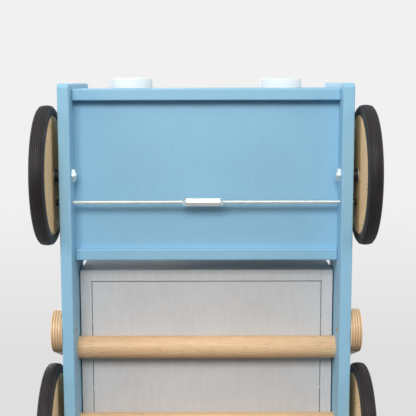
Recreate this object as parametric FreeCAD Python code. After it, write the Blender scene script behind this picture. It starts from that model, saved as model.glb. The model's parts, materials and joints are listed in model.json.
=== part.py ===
"""Baby walker shaped like a small delivery car, with a lift-out crate and a wheel brake.

Millimetres, +Z up.  The nose points to -Y and the walker's left side is +X.  The origin is on
the floor under the middle of the walker.  Lengths along the walker are stations, measured back
from the faces of the headlights.
"""
import FreeCAD, Part
import math
import os
from FreeCAD import Vector

# ---------------------------------------------------------------- driving dimensions
inside_width = 276.0            # between the inner faces of the two side panels
panel_thickness = 12.0
board_thickness = 12.0          # front, cab and rear boards and the hood top
board_edge_radius = 1.5
nose_overhang = 5.5             # how far the side panels stand past the boards between them
deck_length = 155.5             # clear depth of the nose between front board and cab board

wheel_radius = 72.0
tyre_thickness = 10.0           # from the wooden disc's rim out to the tread
wheel_width = 15.0
wheel_stand_off = 6.0           # outer face of a side panel to the tyre
tyre_shoulder_radius = 5.0
disc_recess = 0.2               # wooden disc inside the tyre's faces
disc_chamfer = 2.5
front_axle_setback = 94.0       # front edge of a side panel to the front axle
rear_axle_inset = 43.7          # rear axle to the rear edge of a side panel
axle_edge_distance = 15.0       # lower edge of a side panel to the axles

axle_diameter = 8.0
axle_running_clearance = 0.05
axle_end_float = 0.3
axle_hole_clearance = 0.25
bush_diameter = 12.0
spacer_diameter = 13.0
washer_diameter = 20.0
washer_thickness = 1.5
axle_head_diameter = 16.0
axle_head_height = 4.0
axle_nut_flats = 13.0
axle_nut_height = 3.1
bolt_tip_length = 1.0           # thread that shows past a nut

cab_height = 169.0              # above the lower edge of a side panel, as all of these are
bed_side_height = 88.0
front_board_rise = 19.0
cab_board_rise = 24.0
rear_board_rise = 24.0
deck_rise = 31.0
deck_thickness = 12.0
hood_drop = 8.0                 # top of the hood below the top of the side panels
rear_board_drop = 6.0           # top of the rear board below the low bed side
nose_radius = 20.0
sill_radius = 5.0
tail_radius = 30.0
bed_radius = 12.0
tail_top_radius = 18.0

headlight_diameter = 45.5
headlight_thickness = 12.0
headlight_spacing = 164.0
headlight_height = 95.0         # centres above the lower edge of a side panel
headlight_edge_radius = 2.0

dowel_diameter = 24.0
dowel_height = 37.5             # centres of the two support dowels
front_dowel_setback = 81.8      # front of the crate to the front support dowel
rear_dowel_inset = 22.0         # rear support dowel to the rear of the crate

crate_length = 190.0
crate_height = 110.0
crate_board_thickness = 12.0
crate_edge_radius = 0.4
crate_bottom_thickness = 9.0
crate_side_gap = 1.25           # each side, to the panels
crate_front_gap = 15.7          # to the cab board
crate_rear_gap = 4.0
crate_seat_gap = 0.3            # over the support dowels
crate_seam = 0.8                # round the bottom panel

arm_width = 45.0
arm_thickness = 12.0
arm_foot_height = 20.5
arm_wheel_gap = 14.4            # foot of a handle arm to the front of the rear wheel
arm_lean = math.radians(20.0)
arm_length = 386.0              # foot centre to grip centre
arm_bolt_pitch = 54.0
arm_bolt_diameter = 5.0
arm_head_diameter = 11.0
arm_head_height = 3.0
arm_bolt_stop = 2.0             # bolt tip short of the inner face
insert_diameter = 7.0
grip_socket_depth = 6.0
grip_fit = 0.1                  # round the grip in its sockets

screw_diameter = 4.0
screw_head_diameter = 8.0
screw_head_height = 2.4
screw_length = 38.0
crate_screw_length = 30.0
lamp_screw_length = 20.0
socket_flats = 2.5
board_screw_inset = 18.0        # screw centre to the upper or lower edge of a board
rear_screw_inset = 14.0

brake_setback = 28.0            # front axle to brake rod
rod_diameter = 5.0
rod_hole_clearance = 0.5
thread_running_clearance = 0.05
coupling_flats = 8.0
coupling_length = 36.0
coupling_offset = -3.4
coupling_inner_gap = 10.0       # between the two rod ends inside the coupling
jam_nut_height = 3.0
pad_diameter = 7.0
pad_length = 3.0
pad_socket_depth = 1.5
pad_gap = 1.1                   # pad to the wheel's face with the brake off

# ---------------------------------------------------------------- stations and heights
front_board_station = headlight_thickness
panel_front = front_board_station - nose_overhang
deck_station = front_board_station + board_thickness
cab_board_station = deck_station + deck_length
cab_end = cab_board_station + board_thickness + nose_overhang
crate_station = cab_board_station + board_thickness + crate_front_gap
crate_end = crate_station + crate_length
rear_board_station = crate_end + crate_rear_gap
panel_end = rear_board_station + board_thickness + nose_overhang

front_axle = panel_front + front_axle_setback
rear_axle = panel_end - rear_axle_inset
brake_station = front_axle + brake_setback
arm_foot = rear_axle - wheel_radius - arm_wheel_gap - arm_width / 2
overall_length = rear_axle + wheel_radius

wheel_rim_radius = wheel_radius - tyre_thickness
axle_z = wheel_radius
sill_z = axle_z - axle_edge_distance
cab_top = sill_z + cab_height
bed_top = sill_z + bed_side_height
hood_top_z = cab_top - hood_drop
hood_underside = hood_top_z - board_thickness
deck_z = sill_z + deck_rise
rear_board_top = bed_top - rear_board_drop
dowel_z = sill_z + dowel_height
crate_z = dowel_z + dowel_diameter / 2 + crate_seat_gap
arm_foot_z = sill_z + arm_foot_height
grip_station = arm_foot + arm_length * math.sin(arm_lean)
grip_z = arm_foot_z + arm_length * math.cos(arm_lean)

inner_x = inside_width / 2
outer_x = inner_x + panel_thickness
wheel_inner_x = outer_x + wheel_stand_off
wheel_outer_x = wheel_inner_x + wheel_width

SIDES = {"left": 1, "right": -1}
AXLES = {"front": front_axle, "rear": rear_axle}
X_AXIS = Vector(1, 0, 0)
Y_AXIS = Vector(0, 1, 0)


# ---------------------------------------------------------------- helpers
def y_at(station):
    """Station to the part's own Y."""
    return station - overall_length / 2


def box(x, station, z):
    """Box between three pairs: X, station and Z."""
    size = (x[1] - x[0], station[1] - station[0], z[1] - z[0])
    return Part.makeBox(*size, Vector(x[0], y_at(station[0]), z[0]))


def rounded_box(x, station, z, radius):
    """Box with every edge rounded."""
    solid = box(x, station, z)
    return solid.makeFillet(radius, solid.Edges)


def rod(radius, x0, x1, station, z):
    """Cylinder along X from x0 to x1, in either order."""
    start = Vector(min(x0, x1), y_at(station), z)
    return Part.makeCylinder(radius, abs(x1 - x0), start, X_AXIS)


def hexagon(flats, x0, x1, station, z, turn=30):
    """Hexagonal bar along X, turned from a flat on top; 30 degrees puts a corner there."""
    corner = flats / math.sqrt(3)
    low = min(x0, x1)
    points = []
    for k in range(7):
        angle = math.radians(60 * k + turn)
        points.append(Vector(low, y_at(station) + corner * math.cos(angle), z + corner * math.sin(angle)))
    return Part.Face(Part.makePolygon(points)).extrude(Vector(abs(x1 - x0), 0, 0))


def spun_about_x(points, station, z):
    """Solid of revolution about a line along X; points are (x, radius)."""
    outline = [Vector(x, 0, radius) for x, radius in points]
    face = Part.Face(Part.makePolygon(outline + outline[:1]))
    solid = face.revolve(Vector(0, 0, 0), X_AXIS, 360)
    solid.translate(Vector(0, y_at(station), z))
    return solid


def rounded_outline(corners):
    """Closed wire in the YZ plane; corners are (station, z, radius)."""
    points = [Vector(0, y_at(station), z) for station, z, _ in corners]
    edges = []
    starts = []
    ends = []
    for k, (_, _, radius) in enumerate(corners):
        here = points[k]
        back = (points[k - 1] - here).normalize()
        ahead = (points[(k + 1) % len(points)] - here).normalize()
        half = back.getAngle(ahead) / 2
        cut = radius / math.tan(half)
        starts.append(here + back * cut)
        ends.append(here + ahead * cut)
        centre = here + (back + ahead).normalize() * (radius / math.sin(half))
        middle = centre + (here - centre).normalize() * radius
        edges.append(Part.Arc(starts[k], middle, ends[k]).toShape())
    for k, end in enumerate(ends):
        edges.append(Part.makeLine(end, starts[(k + 1) % len(ends)]))
    return Part.Wire(Part.__sortEdges__(edges))


def plate(wire, x0, x1, radius):
    """Board cut to a wire, from x0 to x1, with the edges of both faces rounded."""
    solid = Part.Face(wire).extrude(Vector(x1 - x0, 0, 0))
    solid.translate(Vector(x0, 0, 0))
    rims = [edge for edge in solid.Edges if edge.BoundBox.XLength < 0.001]
    return solid.makeFillet(radius, rims)


def screw_space(head_x, inward, station, z, length):
    """What a countersunk screw takes out of the wood: head_x is its head, inward is +1 or -1."""
    shank = screw_diameter / 2
    head = screw_head_diameter / 2
    bottom = head_x + inward * screw_head_height
    tip = head_x + inward * length
    profile = [(head_x, 0), (head_x, head), (bottom, shank), (tip - inward * shank, shank), (tip, 0)]
    return spun_about_x(profile, station, z)


def countersunk_screw(head_x, inward, station, z, length):
    """Screw whose flat head is at head_x and whose point is inward along X."""
    socket = hexagon(socket_flats, head_x, head_x + inward * screw_head_height, station, z)
    return screw_space(head_x, inward, station, z, length).cut(socket)


def domed_bolt(seat_x, inward, tip_x, diameter, head_diameter, head_height, station, z):
    """Bolt along X with a low domed head that seats at seat_x."""
    top = seat_x - inward * head_height
    head = rod(head_diameter / 2, seat_x, top, station, z)
    rim = [edge for edge in head.Edges if abs(edge.CenterOfMass.x - top) < 0.001]
    head = head.makeFillet(head_height * 0.75, rim)
    head = head.cut(hexagon(diameter * 0.6, top, seat_x - inward * head_height * 0.3, station, z))
    return head.fuse(rod(diameter / 2, seat_x, tip_x, station, z))


nodes = {}

# ---------------------------------------------------------------- where the screws go
board_screw_heights = {
    front_board_station: (sill_z + front_board_rise + board_screw_inset, hood_underside - board_screw_inset),
    cab_board_station: (sill_z + cab_board_rise + board_screw_inset, hood_underside - board_screw_inset),
    rear_board_station: (sill_z + rear_board_rise + rear_screw_inset, rear_board_top - rear_screw_inset),
}
dowel_stations = {
    "front": crate_station + front_dowel_setback,
    "rear": crate_end - rear_dowel_inset,
}


def panel_screw_places():
    """Station and height of each screw that goes through a side panel."""
    places = []
    for station, heights in board_screw_heights.items():
        for z in heights:
            places.append((station + board_thickness / 2, z))
    for share in (0.25, 0.75):
        places.append((deck_station + deck_length * share, deck_z + deck_thickness / 2))
        places.append((deck_station + deck_length * share, hood_top_z - board_thickness / 2))
    return places


screw_places = panel_screw_places()
dowel_places = [(station, dowel_z) for station in dowel_stations.values()]


def drill(solid, side, places, length=screw_length):
    """Take the screws of one side out of a solid."""
    for station, z in places:
        solid = solid.cut(screw_space(side * outer_x, -side, station, z, length))
    return solid


# ---------------------------------------------------------------- side panels
def side_outline():
    """Car shape: tall nose, low bed side, rounded tail."""
    return rounded_outline([
        (panel_front, sill_z, sill_radius),
        (panel_end, sill_z, tail_radius),
        (panel_end, bed_top, tail_top_radius),
        (cab_end, bed_top, bed_radius),
        (cab_end, cab_top, nose_radius),
        (panel_front, cab_top, nose_radius),
    ])


def arm_bolt_places():
    """The two bolts of a handle arm, the lower one at the centre of its round foot."""
    upper = (arm_foot + arm_bolt_pitch * math.sin(arm_lean), arm_foot_z + arm_bolt_pitch * math.cos(arm_lean))
    return [(arm_foot, arm_foot_z), upper]


def make_side_panel(side):
    """One painted side panel with its holes."""
    panel = plate(side_outline(), inner_x, outer_x, board_edge_radius)
    axle_hole = axle_diameter / 2 + axle_hole_clearance
    for station in AXLES.values():
        panel = panel.cut(rod(axle_hole, inner_x, outer_x, station, axle_z))
    panel = panel.cut(rod(rod_diameter / 2 + rod_hole_clearance, inner_x, outer_x, brake_station, axle_z))
    for station, z in arm_bolt_places():
        panel = panel.cut(rod(insert_diameter / 2, inner_x, outer_x, station, z))
    panel = drill(panel, 1, screw_places + dowel_places)
    if side < 0:
        panel = panel.mirror(Vector(0, 0, 0), X_AXIS)
    return panel


for name, side in SIDES.items():
    nodes["side_panel_" + name] = make_side_panel(side)


# ---------------------------------------------------------------- boards between the panels
def cross_board(station, z0, z1):
    """Board across the walker with its screw holes."""
    depth = (station, station + board_thickness)
    board = rounded_box((-inner_x, inner_x), depth, (z0, z1), board_edge_radius)
    for side in SIDES.values():
        board = drill(board, side, screw_places)
    return board


nodes["front_board"] = cross_board(front_board_station, sill_z + front_board_rise, hood_underside)
nodes["cab_board"] = cross_board(cab_board_station, sill_z + cab_board_rise, hood_underside)
nodes["rear_board"] = cross_board(rear_board_station, sill_z + rear_board_rise, rear_board_top)


def long_board(station0, station1, z0, z1):
    """Flat board between the panels, lengthways."""
    board = box((-inner_x, inner_x), (station0, station1), (z0, z1))
    for side in SIDES.values():
        board = drill(board, side, screw_places)
    return board


nodes["deck_panel"] = long_board(deck_station, cab_board_station, deck_z, deck_z + deck_thickness)
hood = rounded_box(
    (-inner_x, inner_x), (front_board_station, cab_board_station + board_thickness),
    (hood_underside, hood_top_z), board_edge_radius)
for side in SIDES.values():
    hood = drill(hood, side, screw_places)
nodes["hood_top"] = hood

for name, station in dowel_stations.items():
    dowel = rod(dowel_diameter / 2, -inner_x, inner_x, station, dowel_z)
    for side in SIDES.values():
        dowel = drill(dowel, side, [(station, dowel_z)])
    nodes[name + "_support_dowel"] = dowel


def panel_screws(places):
    """Both sides' countersunk screws at these places, as separate solids."""
    screws = []
    for side in SIDES.values():
        for station, z in places:
            screws.append(countersunk_screw(side * outer_x, -side, station, z, screw_length))
    return Part.makeCompound(screws)


nodes["board_screws"] = panel_screws(screw_places)
nodes["dowel_screws"] = panel_screws(dowel_places)


# ---------------------------------------------------------------- headlights
def lamp_centre(side, station):
    """Point on a headlight's axis."""
    return Vector(side * headlight_spacing / 2, y_at(station), sill_z + headlight_height)


def lamp_screw_hole(side):
    """Space of the screw that holds a lamp from inside the nose."""
    head = lamp_centre(side, front_board_station + board_thickness)
    return Part.makeCylinder(screw_diameter / 2, lamp_screw_length, head, -Y_AXIS)


def make_headlight(side):
    """Turned wooden lamp with a rounded face, blind-drilled for its screw."""
    centre = lamp_centre(side, front_board_station)
    lamp = Part.makeCylinder(headlight_diameter / 2, headlight_thickness, centre, -Y_AXIS)
    face = min(lamp.Edges, key=lambda edge: edge.CenterOfMass.y)
    lamp = lamp.makeFillet(headlight_edge_radius, [face])
    return lamp.cut(lamp_screw_hole(side))


def lamp_screw(side):
    """Pan-head wood screw for a lamp."""
    head = lamp_centre(side, front_board_station + board_thickness)
    pan = Part.makeCylinder(screw_head_diameter / 2, screw_head_height, head, Y_AXIS)
    rim = max(pan.Edges, key=lambda edge: edge.CenterOfMass.y)
    pan = pan.makeFillet(screw_head_height * 0.6, [rim])
    return pan.fuse(lamp_screw_hole(side))


for name, side in SIDES.items():
    nodes["headlight_" + name] = make_headlight(side)
    nodes["front_board"] = nodes["front_board"].cut(lamp_screw_hole(side))
nodes["headlight_screws"] = Part.makeCompound([lamp_screw(side) for side in SIDES.values()])


# ---------------------------------------------------------------- handle
def make_arm(side):
    """Plywood handle arm, round at both ends, on the outer face of a side panel."""
    half = arm_width / 2
    along = Vector(0, math.sin(arm_lean), math.cos(arm_lean))
    across = Vector(0, math.cos(arm_lean), -math.sin(arm_lean))
    foot = Vector(0, y_at(arm_foot), arm_foot_z)
    top = Vector(0, y_at(grip_station), grip_z)
    edges = [
        Part.makeLine(foot + across * half, top + across * half),
        Part.Arc(top + across * half, top + along * half, top - across * half).toShape(),
        Part.makeLine(top - across * half, foot - across * half),
        Part.Arc(foot - across * half, foot - along * half, foot + across * half).toShape(),
    ]
    arm = plate(Part.Wire(edges), outer_x, outer_x + arm_thickness, board_edge_radius)
    for station, z in arm_bolt_places():
        arm = arm.cut(rod(arm_bolt_diameter / 2, outer_x, outer_x + arm_thickness, station, z))
    socket = dowel_diameter / 2 + grip_fit
    arm = arm.cut(rod(socket, outer_x, outer_x + grip_socket_depth, grip_station, grip_z))
    arm = arm.cut(screw_space(outer_x + arm_thickness, -1, grip_station, grip_z, screw_length))
    if side < 0:
        arm = arm.mirror(Vector(0, 0, 0), X_AXIS)
    return arm


grip_end = outer_x + grip_socket_depth
grip = rod(dowel_diameter / 2, -grip_end, grip_end, grip_station, grip_z)
arm_bolts = []
inserts = []
grip_screws = []
for name, side in SIDES.items():
    nodes["handle_arm_" + name] = make_arm(side)
    face = side * (outer_x + arm_thickness)
    grip = grip.cut(screw_space(face, -side, grip_station, grip_z, screw_length))
    grip_screws.append(countersunk_screw(face, -side, grip_station, grip_z, screw_length))
    for station, z in arm_bolt_places():
        tip = side * (inner_x + arm_bolt_stop)
        arm_bolts.append(domed_bolt(
            face, -side, tip, arm_bolt_diameter, arm_head_diameter, arm_head_height, station, z))
        insert = rod(insert_diameter / 2, side * inner_x, side * outer_x, station, z)
        inserts.append(insert.cut(rod(arm_bolt_diameter / 2, side * inner_x, side * outer_x, station, z)))
nodes["grip_dowel"] = grip
nodes["arm_bolts"] = Part.makeCompound(arm_bolts)
nodes["arm_inserts"] = Part.makeCompound(inserts)
nodes["grip_screws"] = Part.makeCompound(grip_screws)


# ---------------------------------------------------------------- wheels and axles
def make_tyre(side, station):
    """Rubber tyre with round shoulders."""
    tyre = rod(wheel_radius, side * wheel_inner_x, side * wheel_outer_x, station, axle_z)
    shoulders = [edge for edge in tyre.Edges if edge.BoundBox.XLength < 0.001]
    tyre = tyre.makeFillet(tyre_shoulder_radius, shoulders)
    return tyre.cut(rod(wheel_rim_radius, side * wheel_inner_x, side * wheel_outer_x, station, axle_z))


def make_disc(side, station):
    """Wooden wheel disc with chamfered rims and a bore for its bush."""
    face0 = side * (wheel_inner_x + disc_recess)
    face1 = side * (wheel_outer_x - disc_recess)
    disc = rod(wheel_rim_radius, face0, face1, station, axle_z)
    rims = [edge for edge in disc.Edges if edge.BoundBox.XLength < 0.001]
    disc = disc.makeChamfer(disc_chamfer, rims)
    return disc.cut(rod(bush_diameter / 2, face0, face1, station, axle_z))


def make_bush(side, station):
    """Plastic bush that turns on the axle bolt."""
    face0 = side * (wheel_inner_x + disc_recess)
    face1 = side * (wheel_outer_x - disc_recess)
    bush = rod(bush_diameter / 2, face0, face1, station, axle_z)
    return bush.cut(rod(axle_diameter / 2 + axle_running_clearance, face0, face1, station, axle_z))


def make_spacer(side, station):
    """Sleeve that keeps a wheel off the side panel."""
    face = side * (wheel_inner_x + disc_recess - axle_end_float)
    spacer = rod(spacer_diameter / 2, side * outer_x, face, station, axle_z)
    return spacer.cut(rod(axle_diameter / 2, side * outer_x, face, station, axle_z))


washer_x = wheel_outer_x - disc_recess + axle_end_float
nuts = []
washers = []
for axle, station in AXLES.items():
    for name, side in SIDES.items():
        place = axle + "_" + name
        nodes["wheel_disc_" + place] = make_disc(side, station)
        nodes["tyre_" + place] = make_tyre(side, station)
        nodes["wheel_bush_" + place] = make_bush(side, station)
        nodes["axle_spacer_" + place] = make_spacer(side, station)
        seat = side * (washer_x + washer_thickness)
        tip = side * (inner_x - axle_nut_height - bolt_tip_length)
        nodes["axle_bolt_" + place] = domed_bolt(
            seat, -side, tip, axle_diameter, axle_head_diameter, axle_head_height, station, axle_z)
        bore = rod(axle_diameter / 2, side * washer_x, seat, station, axle_z)
        washers.append(rod(washer_diameter / 2, side * washer_x, seat, station, axle_z).cut(bore))
        nut_face = side * (inner_x - axle_nut_height)
        nut = hexagon(axle_nut_flats, side * inner_x, nut_face, station, axle_z)
        nuts.append(nut.cut(rod(axle_diameter / 2, side * inner_x, nut_face, station, axle_z)))
nodes["axle_nuts"] = Part.makeCompound(nuts)
nodes["axle_washers"] = Part.makeCompound(washers)

# ---------------------------------------------------------------- brake
thread_bore = rod_diameter / 2 + thread_running_clearance
coupling_x0 = coupling_offset - coupling_length / 2
coupling_x1 = coupling_offset + coupling_length / 2
coupling = hexagon(coupling_flats, coupling_x0, coupling_x1, brake_station, axle_z)
nodes["brake_coupling"] = coupling.cut(rod(thread_bore, coupling_x0, coupling_x1, brake_station, axle_z))

disc_face_x = wheel_inner_x + disc_recess
pad_face_x = disc_face_x - pad_gap
for name, side in SIDES.items():
    end = coupling_x1 if side > 0 else coupling_x0
    jam = hexagon(coupling_flats, end, end + side * jam_nut_height, brake_station, axle_z, 0)
    nodes["brake_jam_nut_" + name] = jam.cut(
        rod(thread_bore, end, end + side * jam_nut_height, brake_station, axle_z))
    socket_x = side * (pad_face_x - pad_length + pad_socket_depth)
    root_x = coupling_offset + side * coupling_inner_gap / 2
    nodes["brake_rod_" + name] = rod(rod_diameter / 2, root_x, socket_x, brake_station, axle_z)
    pad = rod(pad_diameter / 2, side * (pad_face_x - pad_length), side * pad_face_x, brake_station, axle_z)
    rim = [edge for edge in pad.Edges if abs(abs(edge.CenterOfMass.x) - pad_face_x) < 0.001]
    pad = pad.makeFillet(0.6, rim)
    nodes["brake_pad_" + name] = pad.cut(nodes["brake_rod_" + name])

# ---------------------------------------------------------------- lift-out crate
crate_x = inner_x - crate_side_gap
crate_inner_x = crate_x - crate_board_thickness
crate_top = crate_z + crate_height
crate_screw_stations = (crate_station + crate_board_thickness / 2, crate_end - crate_board_thickness / 2)
crate_screw_places = []
for station in crate_screw_stations:
    for share in (0.22, 0.78):
        crate_screw_places.append((station, crate_z + crate_height * share))
for share in (0.3, 0.7):
    crate_screw_places.append((crate_station + crate_length * share, crate_z + crate_bottom_thickness / 2))


def drill_crate(solid):
    """Take the crate's screws out of one of its boards."""
    for side in SIDES.values():
        for station, z in crate_screw_places:
            solid = solid.cut(screw_space(side * crate_x, -side, station, z, crate_screw_length))
    return solid


for name, side in SIDES.items():
    spread = sorted((side * crate_inner_x, side * crate_x))
    board = rounded_box(spread, (crate_station, crate_end), (crate_z, crate_top), crate_edge_radius)
    nodes["crate_side_" + name] = drill_crate(board)
for name, station in (("front", crate_station), ("back", crate_end - crate_board_thickness)):
    board = rounded_box(
        (-crate_inner_x, crate_inner_x), (station, station + crate_board_thickness),
        (crate_z, crate_top), crate_edge_radius)
    nodes["crate_" + name] = drill_crate(board)
bottom = box(
    (crate_seam - crate_inner_x, crate_inner_x - crate_seam),
    (crate_station + crate_board_thickness + crate_seam, crate_end - crate_board_thickness - crate_seam),
    (crate_z, crate_z + crate_bottom_thickness))
nodes["crate_bottom"] = drill_crate(bottom)
crate_screws = []
for side in SIDES.values():
    for station, z in crate_screw_places:
        crate_screws.append(countersunk_screw(side * crate_x, -side, station, z, crate_screw_length))
nodes["crate_screws"] = Part.makeCompound(crate_screws)

# ---------------------------------------------------------------- one STEP file per node
os.makedirs("parts", exist_ok=True)
for name, shape in nodes.items():
    shape.exportStep("parts/" + name + ".step")
print(len(nodes), "nodes; length", round(overall_length, 1), "height", round(grip_z + arm_width / 2, 1))
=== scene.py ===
# %% [markdown]
# # A wooden baby walker, shaped like a small delivery car
#
# The construction (boards, dowels, bolts, joints) comes packed as a fixed frame.  This lesson
# dresses it: it turns new tyres, wheel discs, threaded rods and nuts where close-up shape
# matters, paints and lacquers every board, and sets up a plain studio that is also lit from
# below, because the walker's underside is its most interesting side.

# %% Load the frame
import json
import math

import bmesh
import bpy
from mathutils import Matrix, Vector


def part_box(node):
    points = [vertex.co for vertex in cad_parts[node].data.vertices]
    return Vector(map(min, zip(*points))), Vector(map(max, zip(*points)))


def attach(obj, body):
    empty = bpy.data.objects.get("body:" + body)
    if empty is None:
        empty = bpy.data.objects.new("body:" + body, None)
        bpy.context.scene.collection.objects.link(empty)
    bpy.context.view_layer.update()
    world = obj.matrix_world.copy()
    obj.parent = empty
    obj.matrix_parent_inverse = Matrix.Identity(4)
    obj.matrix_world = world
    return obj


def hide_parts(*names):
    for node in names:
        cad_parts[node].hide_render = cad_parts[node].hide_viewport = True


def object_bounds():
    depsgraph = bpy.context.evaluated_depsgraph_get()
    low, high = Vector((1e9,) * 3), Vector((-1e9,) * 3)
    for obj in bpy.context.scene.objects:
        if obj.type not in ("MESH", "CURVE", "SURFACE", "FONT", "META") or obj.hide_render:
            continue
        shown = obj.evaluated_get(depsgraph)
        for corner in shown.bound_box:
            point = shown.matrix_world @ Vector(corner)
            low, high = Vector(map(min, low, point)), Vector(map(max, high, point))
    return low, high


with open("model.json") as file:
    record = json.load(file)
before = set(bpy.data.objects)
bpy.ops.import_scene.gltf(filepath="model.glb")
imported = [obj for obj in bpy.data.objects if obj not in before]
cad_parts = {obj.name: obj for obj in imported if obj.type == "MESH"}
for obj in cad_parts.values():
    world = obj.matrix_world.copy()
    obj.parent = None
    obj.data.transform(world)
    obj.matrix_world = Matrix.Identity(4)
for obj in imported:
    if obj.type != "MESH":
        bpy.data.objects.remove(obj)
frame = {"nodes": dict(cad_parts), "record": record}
cad_low, cad_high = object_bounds()
print("CAD box, mm:", [round(1000 * v) for v in cad_high - cad_low])

# %% [markdown]
# ## Shader maths
#
# A node material is a small calculation.  Written as nodes and links it is hard to read, so one
# class wraps an output socket: plus, minus and times add Math nodes, and `node` adds any other
# kind.  Every pattern below starts from Object coordinates, which are metres in the walker's own
# frame, so a 3 mm feature is 0.003 wide on every piece.

# %% A wire from an output socket


class Wire:
    """An output socket in a material; arithmetic on it adds Math nodes."""

    def __init__(self, tree, socket):
        self.tree = tree
        self.socket = socket

    def node(self, kind, settings, inputs, output=0):
        """Add a node: settings first, then values or wires for its inputs."""
        made = self.tree.nodes.new("ShaderNode" + kind)
        for name, value in settings.items():
            if name == "stops":
                fill_ramp(made.color_ramp, value)
            else:
                setattr(made, name, value)
        for name, value in inputs.items():
            plug(made.inputs[name], value)
        return Wire(self.tree, made.outputs[output])

    def math(self, operation, first, second=0.0):
        return self.node("Math", {"operation": operation}, {0: first, 1: second})

    def __add__(self, other):
        return self.math("ADD", self, other)

    def __radd__(self, other):
        return self.math("ADD", other, self)

    def __sub__(self, other):
        return self.math("SUBTRACT", self, other)

    def __rsub__(self, other):
        return self.math("SUBTRACT", other, self)

    def __mul__(self, other):
        return self.math("MULTIPLY", self, other)

    def __rmul__(self, other):
        return self.math("MULTIPLY", other, self)

    def above(self, edge, softness):
        """0 below edge, 1 above it, with a soft step between."""
        return self.node(
            "MapRange", {"interpolation_type": "SMOOTHSTEP"},
            {"Value": self, "From Min": edge - softness, "From Max": edge + softness})


def plug(socket, value):
    """Link a wire to a socket, or set the socket's own value."""
    if isinstance(value, Wire):
        value.tree.links.new(value.socket, socket)
    else:
        socket.default_value = value


def fill_ramp(ramp, stops):
    """Set a colour ramp's stops from (position, colour) pairs."""
    while len(ramp.elements) < len(stops):
        ramp.elements.new(1.0)
    for element, (position, colour) in zip(ramp.elements, stops):
        element.position = position
        element.color = colour


def colour(red, green, blue):
    """A paint chip's 0 to 255 screen colour as the linear colour that shaders use."""
    linear = []
    for part in (red, green, blue):
        share = part / 255
        linear.append(share / 12.92 if share <= 0.04045 else ((share + 0.055) / 1.055) ** 2.4)
    return (*linear, 1.0)


def blend(factor, first, second):
    """Mix two colours; factor is a wire."""
    return factor.node("Mix", {"data_type": "RGBA"}, {0: factor, 6: first, 7: second}, 2)


def stretched(place, scale, turn=(0, 0, 0)):
    """Coordinates turned and then scaled, for a pattern that runs one way."""
    turned_place = place.node("Mapping", {"vector_type": "POINT"}, {"Vector": place, "Rotation": turn})
    return place.node("Mapping", {"vector_type": "POINT"}, {"Vector": turned_place, "Scale": scale})


def noise(place, scale, detail=2.0, roughness=0.5):
    """Cloudy 0 to 1 noise with about `scale` blobs to the metre."""
    return place.node(
        "TexNoise", {}, {"Vector": place, "Scale": scale, "Detail": detail, "Roughness": roughness})


print("Wire is ready")

# %% [markdown]
# ## Starting a finish
#
# Each finish is a function that returns a material.  Values that are the same all over, such as
# how metallic it is, go straight on the shader; what changes over the surface is wired in.

# %% Start a material, and feed its bump


def start(name, **values):
    """A new material, its shader and its Object coordinates."""
    material = bpy.data.materials.new(name)
    material.use_nodes = True
    tree = material.node_tree
    shader = tree.nodes["Principled BSDF"]
    for socket, value in values.items():
        shader.inputs[socket.replace("_", " ")].default_value = value
    place = Wire(tree, tree.nodes.new("ShaderNodeTexCoord").outputs["Object"])
    return material, shader, place


def bump(shader, height, depth, strength=1.0):
    """Raise the surface by depth metres where height is 1."""
    relief = height.node("Bump", {}, {"Height": height, "Distance": depth, "Strength": strength})
    plug(shader.inputs["Normal"], relief)


FINISHES = {}


def finish(slot, make, *options):
    """Make a finish and keep it under the record's name for it."""
    FINISHES[slot] = make(slot, *options)
    print("finish", slot)


# %% [markdown]
# ## Paint
#
# The body is plywood under a satin water-based paint.  From close by such paint isn't flat: the
# roller leaves a fine orange peel, the grain lifts in faint lines, and the tone drifts a little.
# Three noises at three scales give that, each far too weak to see alone.

# %% Satin paint


def paint(name, chip, depth_chip, gloss):
    """Rolled paint: a main colour, and the slightly deeper tone that it drifts to."""
    material, shader, place = start(name, Specular_IOR_Level=0.2)
    drift = noise(place, 9.0, 3.0)
    streaks = noise(stretched(place, (40, 6, 40)), 8.0, 3.0)
    peel = noise(place, 850.0, 1.0)
    tone = drift.above(0.55, 0.25) * 0.55 + streaks.above(0.5, 0.3) * 0.35
    plug(shader.inputs["Base Color"], blend(tone, colour(*chip), colour(*depth_chip)))
    plug(shader.inputs["Roughness"], gloss + drift * 0.08 + peel * 0.05)
    bump(shader, peel * 0.6 + streaks * 0.8, 0.00012)
    return material


finish("blue_painted_wood", paint, (151, 198, 224), (144, 191, 217), 0.4)
finish("grey_painted_wood", paint, (214, 214, 215), (198, 196, 194), 0.42)
finish("white_painted_wood", paint, (228, 230, 229), (223, 225, 224), 0.36)

# %% [markdown]
# ## Lacquered wood
#
# Beech shows long soft streaks and short dark flecks, all along the grain.  Noise becomes grain
# when its coordinates are squeezed across the grain and stretched along it; a second, finer one
# cut off near its top leaves only the flecks.

# %% Solid wood


def solid_wood(name, light, dark, grain, turn=(0, 0, 0), coat=0.25):
    """Clear-lacquered wood whose grain runs along the axis with the smallest `grain` value."""
    material, shader, place = start(
        name, Specular_IOR_Level=0.2 + coat, Coat_Weight=coat, Coat_Roughness=0.25)
    along = stretched(place, grain, turn)
    bands = noise(along, 5.0, 4.0, 0.6)
    fibres = noise(along, 38.0, 3.0, 0.65)
    flecks = noise(along, 95.0, 1.0).above(0.66, 0.04)
    tone = bands.above(0.5, 0.22) * 0.5 + fibres.above(0.5, 0.25) * 0.35
    wood = blend(tone, colour(*light), colour(*dark))
    fleck_chip = colour(*[part * 0.72 for part in dark])
    plug(shader.inputs["Base Color"], blend(flecks * 0.5, wood, fleck_chip))
    plug(shader.inputs["Roughness"], 0.5 - coat * 0.4 + fibres * 0.15)
    bump(shader, 1.0 - fibres * 0.6 - flecks * 0.4, 0.00008)
    return material


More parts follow.
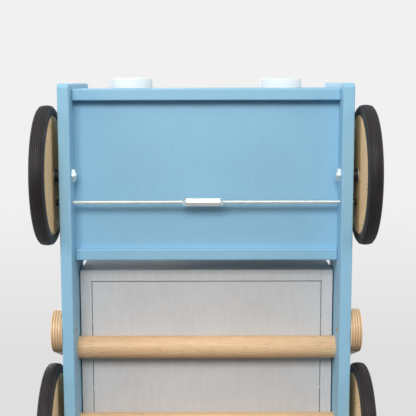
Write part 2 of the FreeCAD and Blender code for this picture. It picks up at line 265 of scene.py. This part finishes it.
finish("beech", solid_wood, (240, 205, 163), (214, 170, 127), (0.9, 14.0, 14.0), (0, 0, 0), 0.1)
finish("wheel_wood", solid_wood, (250, 214, 165), (230, 186, 134), (7.0, 7.0, 0.6), (0.35, 0, 0), 0.0)

# %% [markdown]
# ## Birch plywood
#
# A handle arm is cut from a 12 mm plywood board, so its faces show one sheet of veneer and its
# edges show all the plies in turn: pale ones cut along the grain, brown ones cut across it, and
# a dark glue line between each two.  Depth through the board is how far a point lies beyond the
# side panel, so the same few Math nodes colour both arms.

# %% Plywood with its glue lines
arm_low, arm_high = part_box("handle_arm_left")
PLIES = 9
ARM_LEAN = math.atan2(0.342, 0.940)


def plywood(name):
    """Veneer on the faces, plies and glue lines on the edges."""
    material, shader, place = start(name, Specular_IOR_Level=0.45, Coat_Weight=0.2, Coat_Roughness=0.3)
    x = place.node("SeparateXYZ", {}, {0: place})
    through = (x.math("ABSOLUTE", x) - arm_low.x) * (PLIES / (arm_high.x - arm_low.x))
    wobble = noise(place, 60.0, 2.0) * 0.16 - 0.08
    ply = through + wobble
    phase = x.math("FRACT", ply)
    glue = x.math("ABSOLUTE", phase - 0.5).above(0.43, 0.05)
    inner = x.math("ABSOLUTE", through - PLIES / 2)
    glue = glue * (1.0 - inner.above(PLIES / 2 - 0.35, 0.1))
    across = x.math("MODULO", x.math("FLOOR", ply), 2.0) * (1.0 - inner.above(PLIES / 2 - 0.9, 0.05))
    grain = stretched(place, (6.0, 6.0, 0.35), (ARM_LEAN, 0, 0))
    veneer = noise(grain, 7.0, 4.0, 0.6)
    fibres = noise(grain, 42.0, 2.0)
    pores = noise(place, 1300.0, 1.0)
    tone = veneer.above(0.52, 0.2) * 0.55 + fibres.above(0.5, 0.3) * 0.25
    face = blend(tone, colour(243, 214, 174), colour(224, 187, 143))
    end_grain = blend(pores.above(0.5, 0.2), colour(214, 174, 128), colour(186, 144, 100))
    wood = blend(glue * 0.75, blend(across, face, end_grain), colour(120, 84, 50))
    plug(shader.inputs["Base Color"], wood)
    plug(shader.inputs["Roughness"], 0.42 + fibres * 0.15)
    bump(shader, fibres * 0.5 - glue * 0.8 + across * pores * 0.4, 0.00012)
    return material


finish("birch_plywood", plywood)

# %% [markdown]
# ## Rubber, plastic and metal
#
# Rubber is nearly black, dull, and a little dusty.  Zinc plate is a bright metal whose roughness
# drifts, which breaks up its reflections.  Brass is the same with another colour.

# %% Rubber and plastic


def dull(name, chip, dust_chip, roughness, grit):
    """Rubber or moulded plastic: dark, with a dusty bloom and fine grit."""
    material, shader, place = start(name, Specular_IOR_Level=0.35)
    bloom = noise(place, 45.0, 3.0)
    grains = noise(place, grit, 2.0)
    plug(shader.inputs["Base Color"], blend(bloom.above(0.55, 0.2) * 0.6, colour(*chip), colour(*dust_chip)))
    plug(shader.inputs["Roughness"], roughness + bloom * 0.12)
    bump(shader, grains, 0.00006)
    return material


finish("tyre_rubber", dull, (44, 40, 40), (60, 55, 55), 0.5, 1800.0)
finish("pad_rubber", dull, (30, 30, 31), (44, 43, 42), 0.55, 2200.0)
finish("black_spacer", dull, (28, 29, 31), (40, 40, 42), 0.35, 2500.0)
finish("nylon", dull, (226, 226, 220), (212, 211, 204), 0.4, 1500.0)

# %% Metal


def metal(name, chip, tint_chip, roughness):
    """Plated or plain metal with drifting tint and roughness."""
    material, shader, place = start(name, Metallic=1.0)
    drift = noise(place, 120.0, 3.0)
    scratches = noise(stretched(place, (1.0, 30.0, 30.0)), 90.0, 2.0)
    plug(shader.inputs["Base Color"], blend(drift.above(0.5, 0.25) * 0.7, colour(*chip), colour(*tint_chip)))
    plug(shader.inputs["Roughness"], roughness + drift * 0.12 + scratches * 0.08)
    bump(shader, scratches, 0.00002)
    return material


finish("zinc_plated_steel", metal, (244, 245, 242), (226, 230, 229), 0.28)
finish("brass", metal, (232, 188, 108), (205, 158, 84), 0.25)

# %% [markdown]
# ## Dressing the CAD pieces
#
# Boards, dowels, arms and screws already have their right shape, so they only need their finish.
# The record says which finish each node takes.

# %% Give every CAD node its finish
for entry in frame["record"]["subparts"]:
    node = frame["nodes"][entry["node"]]
    node.data.materials.clear()
    node.data.materials.append(FINISHES[entry["material_slot"]])
SLOT_OF = {entry["node"]: entry["material_slot"] for entry in frame["record"]["subparts"]}
BODY_OF = {node: body for body, members in frame["record"]["behaviour"]["bodies"].items() for node in members}
print(len(SLOT_OF), "nodes dressed")

# %% [markdown]
# ## Making a new piece
#
# A new piece stands for one CAD node: it takes that node's finish and rides on that node's body,
# so it turns or slides with it.  Normals are recalculated after every spin, and faces are shaded
# smooth except across sharp edges.

# %% From bmesh to a piece
SHARP = math.radians(32)


def piece(name, mesh, node):
    """Turn a bmesh into the piece that stands for a CAD node."""
    bmesh.ops.recalc_face_normals(mesh, faces=mesh.faces)
    data = bpy.data.meshes.new(name)
    mesh.to_mesh(data)
    mesh.free()
    data.shade_smooth()
    data.set_sharp_from_angle(angle=SHARP)
    data.materials.append(FINISHES[SLOT_OF[node]])
    made = bpy.data.objects.new(name, data)
    bpy.context.scene.collection.objects.link(made)
    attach(made, BODY_OF[node])
    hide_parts(node)
    print(name, len(data.polygons), "faces")
    return made


def turned(outline, origin, axis, steps):
    """Lathe work: spin a closed outline of (distance along axis, radius) into a solid."""
    up = Vector((0, 0, 1))
    mesh = bmesh.new()
    ring = [mesh.verts.new(origin + axis * along + up * radius) for along, radius in outline]
    edges = [mesh.edges.new((ring[k - 1], ring[k])) for k in range(len(ring))]
    bmesh.ops.spin(
        mesh, geom=ring + edges, cent=origin, axis=axis, dvec=(0, 0, 0), angle=2 * math.pi,
        steps=steps, use_merge=True, use_duplicate=False)
    bmesh.ops.remove_doubles(mesh, verts=mesh.verts, dist=1e-7)
    return mesh


def arc(centre, radius, first, last, count):
    """Points of a round corner in an outline, from angle first to angle last in degrees."""
    points = []
    for k in range(count + 1):
        angle = math.radians(first + (last - first) * k / count)
        points.append((centre[0] + radius * math.cos(angle), centre[1] + radius * math.sin(angle)))
    return points


def centre_of(node):
    """Middle of a CAD node's box."""
    low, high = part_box(node)
    return (low + high) / 2


# %% [markdown]
# ## Tyres
#
# The tyre is a band of black rubber stretched over the wooden disc.  Its tread carries fine ribs
# all the way round, its shoulders are round and its sides plain, so it is lathe work: one closed
# section, then spun.  Real grooves catch light in a way that bump doesn't.

# %% Spin the four tyres
AXLES = ("front", "rear")
SIDES = {"left": 1, "right": -1}
TYRE_STEPS = 144
GROOVES = 6
GROOVE_PITCH = 0.0019
GROOVE_DEPTH = 0.0008
GROOVE_HALF = 0.00045
CROWN = 0.0009
SHOULDER = 0.0042


def tyre_outline(half_width, inner, outer):
    """Closed section of a tyre, (across, radius), with ribs on its crowned tread."""
    outline = [(-half_width + 0.0006, inner), (half_width - 0.0006, inner), (half_width, inner + 0.0012)]
    outline += arc((half_width - SHOULDER, outer - CROWN - SHOULDER), SHOULDER, 0, 68, 6)
    for k in range(GROOVES):
        middle = GROOVE_PITCH * ((GROOVES - 1) / 2 - k)
        top = outer - CROWN * (middle / (half_width - SHOULDER * 0.6)) ** 2
        outline.append((middle + GROOVE_HALF, top))
        outline.append((middle + GROOVE_HALF * 0.4, top - GROOVE_DEPTH))
        outline.append((middle - GROOVE_HALF * 0.4, top - GROOVE_DEPTH))
        outline.append((middle - GROOVE_HALF, top))
    outline += arc((SHOULDER - half_width, outer - CROWN - SHOULDER), SHOULDER, 112, 180, 6)
    outline.append((-half_width, inner + 0.0012))
    return outline


for axle in AXLES:
    for side, sign in SIDES.items():
        node = "tyre_" + axle + "_" + side
        low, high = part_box(node)
        disc_low, disc_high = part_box("wheel_disc_" + axle + "_" + side)
        section = tyre_outline((high.x - low.x) / 2, (disc_high.z - disc_low.z) / 2, (high.z - low.z) / 2)
        band = turned(section, centre_of(node), Vector((1, 0, 0)), TYRE_STEPS)
        piece("ribbed_" + node, band, node)

# %% [markdown]
# ## Wheel discs
#
# Each disc is turned from solid wood.  The lathe leaves a well rounded rim, a face a hair lower
# than the rim and a bore for the bush; the rounded rim is the bright line beside the tyre.

# %% Turn the four wheel discs
RIM_ROUND = 0.0028


def disc_outline(half_width, bore, outer):
    """Closed section of a wheel disc."""
    corner = outer - RIM_ROUND
    dish = 0.0004
    outline = [(-half_width + dish, bore), (half_width - dish, bore), (half_width, corner - 0.004)]
    outline += arc((half_width - RIM_ROUND, corner), RIM_ROUND, 0, 90, 6)
    outline += arc((RIM_ROUND - half_width, corner), RIM_ROUND, 90, 180, 6)
    outline.append((-half_width, corner - 0.004))
    return outline


for axle in AXLES:
    for side in SIDES:
        node = "wheel_disc_" + axle + "_" + side
        low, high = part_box(node)
        bush_low, bush_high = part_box("wheel_bush_" + axle + "_" + side)
        section = disc_outline((high.x - low.x) / 2, (bush_high.z - bush_low.z) / 2, (high.z - low.z) / 2)
        piece("turned_" + node, turned(section, centre_of(node), Vector((1, 0, 0)), TYRE_STEPS), node)

# %% [markdown]
# ## Headlights
#
# Two thick wooden buttons, painted white.  Their faces are slightly crowned and their front
# edges well rounded, as a child's hands need.

# %% Turn the headlights
for side in SIDES:
    node = "headlight_" + side
    low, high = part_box(node)
    radius = (high.z - low.z) / 2
    depth = high.y - low.y
    back = Vector((centre_of(node).x, high.y, centre_of(node).z))
    crown = 0.0008
    round_edge = 0.0026
    section = [(0, 0), (0, radius - 0.0004), (0.0004, radius)]
    section += arc((depth - crown - round_edge, radius - round_edge), round_edge, 90, 5, 7)
    section += [(depth - crown * 0.4, radius * 0.55), (depth - crown * 0.1, radius * 0.25), (depth, 0)]
    piece("lamp_" + side, turned(section, back, Vector((0, -1, 0)), 96), node)

# %% [markdown]
# ## Threaded rods
#
# The brake is two M5 rods with opposite threads in one long coupling.  One pitch of the thread's
# zigzag, spun while it creeps along the axis, makes one turn of a helix.  That turn is copied on,
# doubling each time, and as each turn starts where the last one ended, merging doubles joins them
# into one skin.  Two cuts trim the ends square.

# %% Cut the threads
PITCH = 0.0008
TURN_STEPS = 20
THREAD_DEPTH = 0.00035


def threaded_rod(origin, axis, radius, length, hand):
    """A rod from origin along axis, threaded all the way."""
    root = radius - THREAD_DEPTH
    mesh = bmesh.new()
    zigzag = [(-1.0, root), (-0.62, radius), (-0.38, radius), (0.0, root)]
    ring = [mesh.verts.new(origin + axis * (PITCH * along) + Vector((0, 0, r))) for along, r in zigzag]
    edges = [mesh.edges.new(pair) for pair in zip(ring, ring[1:])]
    bmesh.ops.spin(
        mesh, geom=ring + edges, cent=origin, axis=axis * hand, dvec=axis * (PITCH / TURN_STEPS),
        angle=2 * math.pi, steps=TURN_STEPS, use_merge=False, use_duplicate=False)
    turns = 1
    while turns < length / PITCH + 2:
        copy = bmesh.ops.duplicate(mesh, geom=mesh.verts[:] + mesh.edges[:] + mesh.faces[:])
        moved = [item for item in copy["geom"] if isinstance(item, bmesh.types.BMVert)]
        bmesh.ops.translate(mesh, verts=moved, vec=axis * (PITCH * turns))
        turns *= 2
    bmesh.ops.remove_doubles(mesh, verts=mesh.verts, dist=PITCH * 0.01)
    for distance, outward in ((0.0, -1), (length, 1)):
        cut = bmesh.ops.bisect_plane(
            mesh, geom=mesh.verts[:] + mesh.edges[:] + mesh.faces[:], plane_co=origin + axis * distance,
            plane_no=axis * outward, clear_outer=True, clear_inner=False, dist=1e-7)
        rim = [edge for edge in cut["geom_cut"] if isinstance(edge, bmesh.types.BMEdge)]
        bmesh.ops.holes_fill(mesh, edges=rim, sides=0)
    return mesh


for side, sign in SIDES.items():
    node = "brake_rod_" + side
    low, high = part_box(node)
    inner = low.x if sign > 0 else high.x
    origin = Vector((inner, centre_of(node).y, centre_of(node).z))
    rod = threaded_rod(origin, Vector((sign, 0, 0)), (high.z - low.z) / 2, high.x - low.x, 1)
    piece("threaded_" + node, rod, node)

# %% [markdown]
# ## Nuts and the long coupling
#
# A hexagon nut is a six-sided bar with a round bore and its corners turned off at both ends.
# All its loops start as circles with equally many points.  Two are pushed out to hexagons, and
# then each is bridged to the next, from the bore over the end face, the chamfer and the flats.

# %% Build hexagon nuts
POINTS_PER_FLAT = 4
CHAMFER_SLOPE = math.tan(math.radians(30))


def loop_edges(loop):
    """The edges that join a loop's own vertices."""
    members = set(loop)
    return list({edge for vert in loop for edge in vert.link_edges if set(edge.verts) <= members})


def round_loop(mesh, centre, x, radius):
    """Circle with as many points as a hexagon loop."""
    place = Matrix.Translation((x, centre.y, centre.z)) @ Matrix.Rotation(math.radians(90), 4, "Y")
    made = bmesh.ops.create_circle(mesh, segments=6 * POINTS_PER_FLAT, radius=radius, matrix=place)
    return made["verts"]


def hexagon_loop(mesh, centre, x, flats, face, turn):
    """A round loop pushed out to a hexagon turned from corner down, its corners cut back at x."""
    loop = round_loop(mesh, centre, x, 1.0)
    for vert in loop:
        way = Vector((0, vert.co.y - centre.y, vert.co.z - centre.z))
        from_corner = (math.degrees(math.atan2(way.y, way.z)) + turn) % 60
        reach = flats / 2 / math.cos(math.radians(from_corner - 30))
        inward = 1 if x < centre.x else -1
        vert.co = Vector((x + inward * (reach - face) * CHAMFER_SLOPE, centre.y, centre.z)) + way * reach
    return loop


def hexagon_nut(centre, x0, x1, flats, bore, turn=0):
    """Nut along X with chamfered corners and a bore."""
    mesh = bmesh.new()
    face = flats / 2 * 0.96
    loops = [round_loop(mesh, centre, x0, bore), round_loop(mesh, centre, x0, face)]
    loops += [hexagon_loop(mesh, centre, x, flats, face, turn) for x in (x0, x1)]
    loops += [round_loop(mesh, centre, x1, face), round_loop(mesh, centre, x1, bore)]
    rings = [loop_edges(loop) for loop in loops]
    for first, second in zip(rings, rings[1:] + rings[:1]):
        bmesh.ops.bridge_loops(mesh, edges=first + second)
    return mesh


rod_low, rod_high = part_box("brake_rod_left")
rod_radius = (rod_high.z - rod_low.z) / 2
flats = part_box("brake_coupling")[1].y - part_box("brake_coupling")[0].y
for node, turn in {"brake_coupling": 0, "brake_jam_nut_left": 30, "brake_jam_nut_right": 30}.items():
    low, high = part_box(node)
    nut = hexagon_nut(centre_of(node), low.x, high.x, flats, rod_radius + 0.00005, turn)
    piece("hexagon_" + node, nut, node)

# %% [markdown]
# ## Brake pads
#
# A small rubber cap is pushed over each rod's outer end; its rounded face is what rubs on the
# wheel.

# %% Turn the pads
for side, sign in SIDES.items():
    node = "brake_pad_" + side
    low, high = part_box(node)
    radius = (high.z - low.z) / 2
    length = high.x - low.x
    socket = length / 2
    base = Vector((low.x if sign > 0 else high.x, centre_of(node).y, centre_of(node).z))
    section = [(0, rod_radius), (0, radius - 0.0003), (0.0003, radius)]
    section += arc((length - 0.0007, radius - 0.0007), 0.0007, 90, 0, 4)
    section += [(length, 0), (socket, 0), (socket, rod_radius)]
    piece("rubber_" + node, turned(section, base, Vector((sign, 0, 0)), 48), node)

# %% [markdown]
# ## The studio
#
# The walker stands on a pale floor, but its working parts are underneath, so the floor can only
# be seen from above: from below it lets the eye and the light through.  A large soft lamp under
# the nose lights the underside, another overhead lights the top, and a pale world fills the rest.

# %% Floor that shows from above only
FLOOR_SIZE = 20.0
FADE_MIDDLE = 3.5
FADE_HALF = 2.7
floor_mesh = bmesh.new()
bmesh.ops.create_grid(floor_mesh, x_segments=8, y_segments=8, size=FLOOR_SIZE / 2)
floor_data = bpy.data.meshes.new("floor")
floor_mesh.to_mesh(floor_data)
floor_mesh.free()
floor = bpy.data.objects.new("floor", floor_data)
bpy.context.scene.collection.objects.link(floor)

floor_material, floor_shader, floor_place = start("pale_floor", Roughness=0.9, Specular_IOR_Level=0.1)
floor_shader.inputs["Base Color"].default_value = colour(240, 240, 240)
path = floor_place.node("LightPath", {}, {})
camera_ray = Wire(path.tree, path.socket.node.outputs["Is Camera Ray"])
glossy_ray = Wire(path.tree, path.socket.node.outputs["Is Glossy Ray"])
side_seen = floor_place.node("NewGeometry", {}, {})
from_behind = Wire(path.tree, side_seen.socket.node.outputs["Backfacing"])
far_off = floor_place.node("VectorMath", {"operation": "LENGTH"}, {0: floor_place}, 1).above(FADE_MIDDLE, FADE_HALF)
shown = (1.0 - from_behind) * (1.0 - far_off) * path.math("MINIMUM", camera_ray + glossy_ray, 1.0)
clear = floor_place.node("BsdfTransparent", {}, {})
solid = Wire(path.tree, floor_shader.outputs["BSDF"])
floor_mix = floor_place.node("MixShader", {}, {0: shown, 1: clear, 2: solid})
plug(floor_material.node_tree.nodes["Material Output"].inputs["Surface"], floor_mix)
floor_data.materials.append(floor_material)
print("floor", FLOOR_SIZE, "m")

# %% [markdown]
# The world has two jobs, so it has two strengths.  What the camera and shiny surfaces see is the
# pale backdrop, a touch darker towards the back of the walker; what lights the wood is a weaker
# plain white, so that the lamps still give the boards their shape.

# %% World and lamps
FILL = 0.05
NOSE_DOME = 0.48
TOP_DOME = 0.72
world = bpy.data.worlds.new("studio")
bpy.context.scene.world = world
world.use_nodes = True
sky_tree = world.node_tree
direction = Wire(sky_tree, sky_tree.nodes.new("ShaderNodeTexCoord").outputs["Generated"])
lean_back = direction.node("SeparateXYZ", {}, {0: direction}, 1)
height = direction.node("SeparateXYZ", {}, {0: direction}, 2)
fade = direction.node("MapRange", {}, {"Value": lean_back, "From Min": 0.12, "From Max": 0.28})
backdrop = blend(fade, colour(241, 241, 241), colour(224, 223, 224))
nose_side = (0.0 - lean_back).above(0.15, 0.3)
from_above = height.above(0.0, 0.2)
light = FILL + NOSE_DOME * nose_side + (TOP_DOME - NOSE_DOME * nose_side) * from_above
white_light = direction.node("CombineXYZ", {}, {0: light, 1: light, 2: light})
sky_path = direction.node("LightPath", {}, {})
sky_camera = Wire(sky_tree, sky_path.socket.node.outputs["Is Camera Ray"])
sky_glossy = Wire(sky_tree, sky_path.socket.node.outputs["Is Glossy Ray"])
seen = sky_path.math("MINIMUM", sky_camera + sky_glossy, 1.0)
plug(sky_tree.nodes["Background"].inputs["Color"], blend(seen, white_light, backdrop))


def soft_lamp(name, place, target, width, height, watts):
    """Rectangular soft box aimed at a point."""
    data = bpy.data.lights.new(name, "AREA")
    data.shape = "RECTANGLE"
    data.size = width
    data.size_y = height
    data.energy = watts
    lamp = bpy.data.objects.new(name, data)
    bpy.context.scene.collection.objects.link(lamp)
    lamp.location = place
    lamp.rotation_euler = (Vector(target) - Vector(place)).to_track_quat("-Z", "Y").to_euler()
    print(name, watts, "W")


middle = (cad_low + cad_high) / 2
nose_point = Vector((0, cad_low.y + 0.15, 0.07))
LOW_LAMPS = {
    "low_middle": ((-0.12, -0.53, -0.84), 1.8, 0.8, 0.6, 22.0),
    "low_right_side": ((-0.88, -0.30, -0.34), 1.8, 1.0, 0.8, 8.0),
    "low_left_side": ((0.88, -0.30, -0.34), 1.8, 1.0, 0.8, 7.0),
}
for name, (way, distance, width, height, watts) in LOW_LAMPS.items():
    soft_lamp(name, nose_point + Vector(way).normalized() * distance, nose_point, width, height, watts)
soft_lamp("overhead", middle + Vector((-0.6, -0.2, 1.7)), middle, 1.0, 1.0, 9.0)

# %% [markdown]
# ## The camera
#
# The camera lies under the nose and looks up, tipped a little towards the tail, so the underside
# fills the picture with the headlights at the top.

# %% Camera under the nose
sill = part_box("side_panel_left")[0]
CAMERA_DROP = 0.958
CAMERA_BEHIND_NOSE = 0.0038
PITCH_BACK = math.radians(7.66)
ROLL = math.radians(-0.12)
camera_data = bpy.data.cameras.new("camera")
camera_data.lens = 82.0
camera_data.sensor_width = 36.0
camera_data.clip_start = 0.05
camera = bpy.data.objects.new("camera", camera_data)
bpy.context.scene.collection.objects.link(camera)
camera.location = (0.0018, cad_low.y + CAMERA_BEHIND_NOSE, sill.z - CAMERA_DROP)
camera.rotation_mode = "QUATERNION"
look = Vector((0, math.sin(PITCH_BACK), math.cos(PITCH_BACK)))
top = Vector((0, -math.cos(PITCH_BACK), math.sin(PITCH_BACK)))
right = look.cross(top)
aim = Matrix((right, top, -look)).transposed()
camera.rotation_quaternion = (aim @ Matrix.Rotation(ROLL, 3, "Z")).to_quaternion()
bpy.context.scene.camera = camera
bpy.context.scene.view_settings.view_transform = "Standard"
print("camera at", [round(v, 3) for v in camera.location])
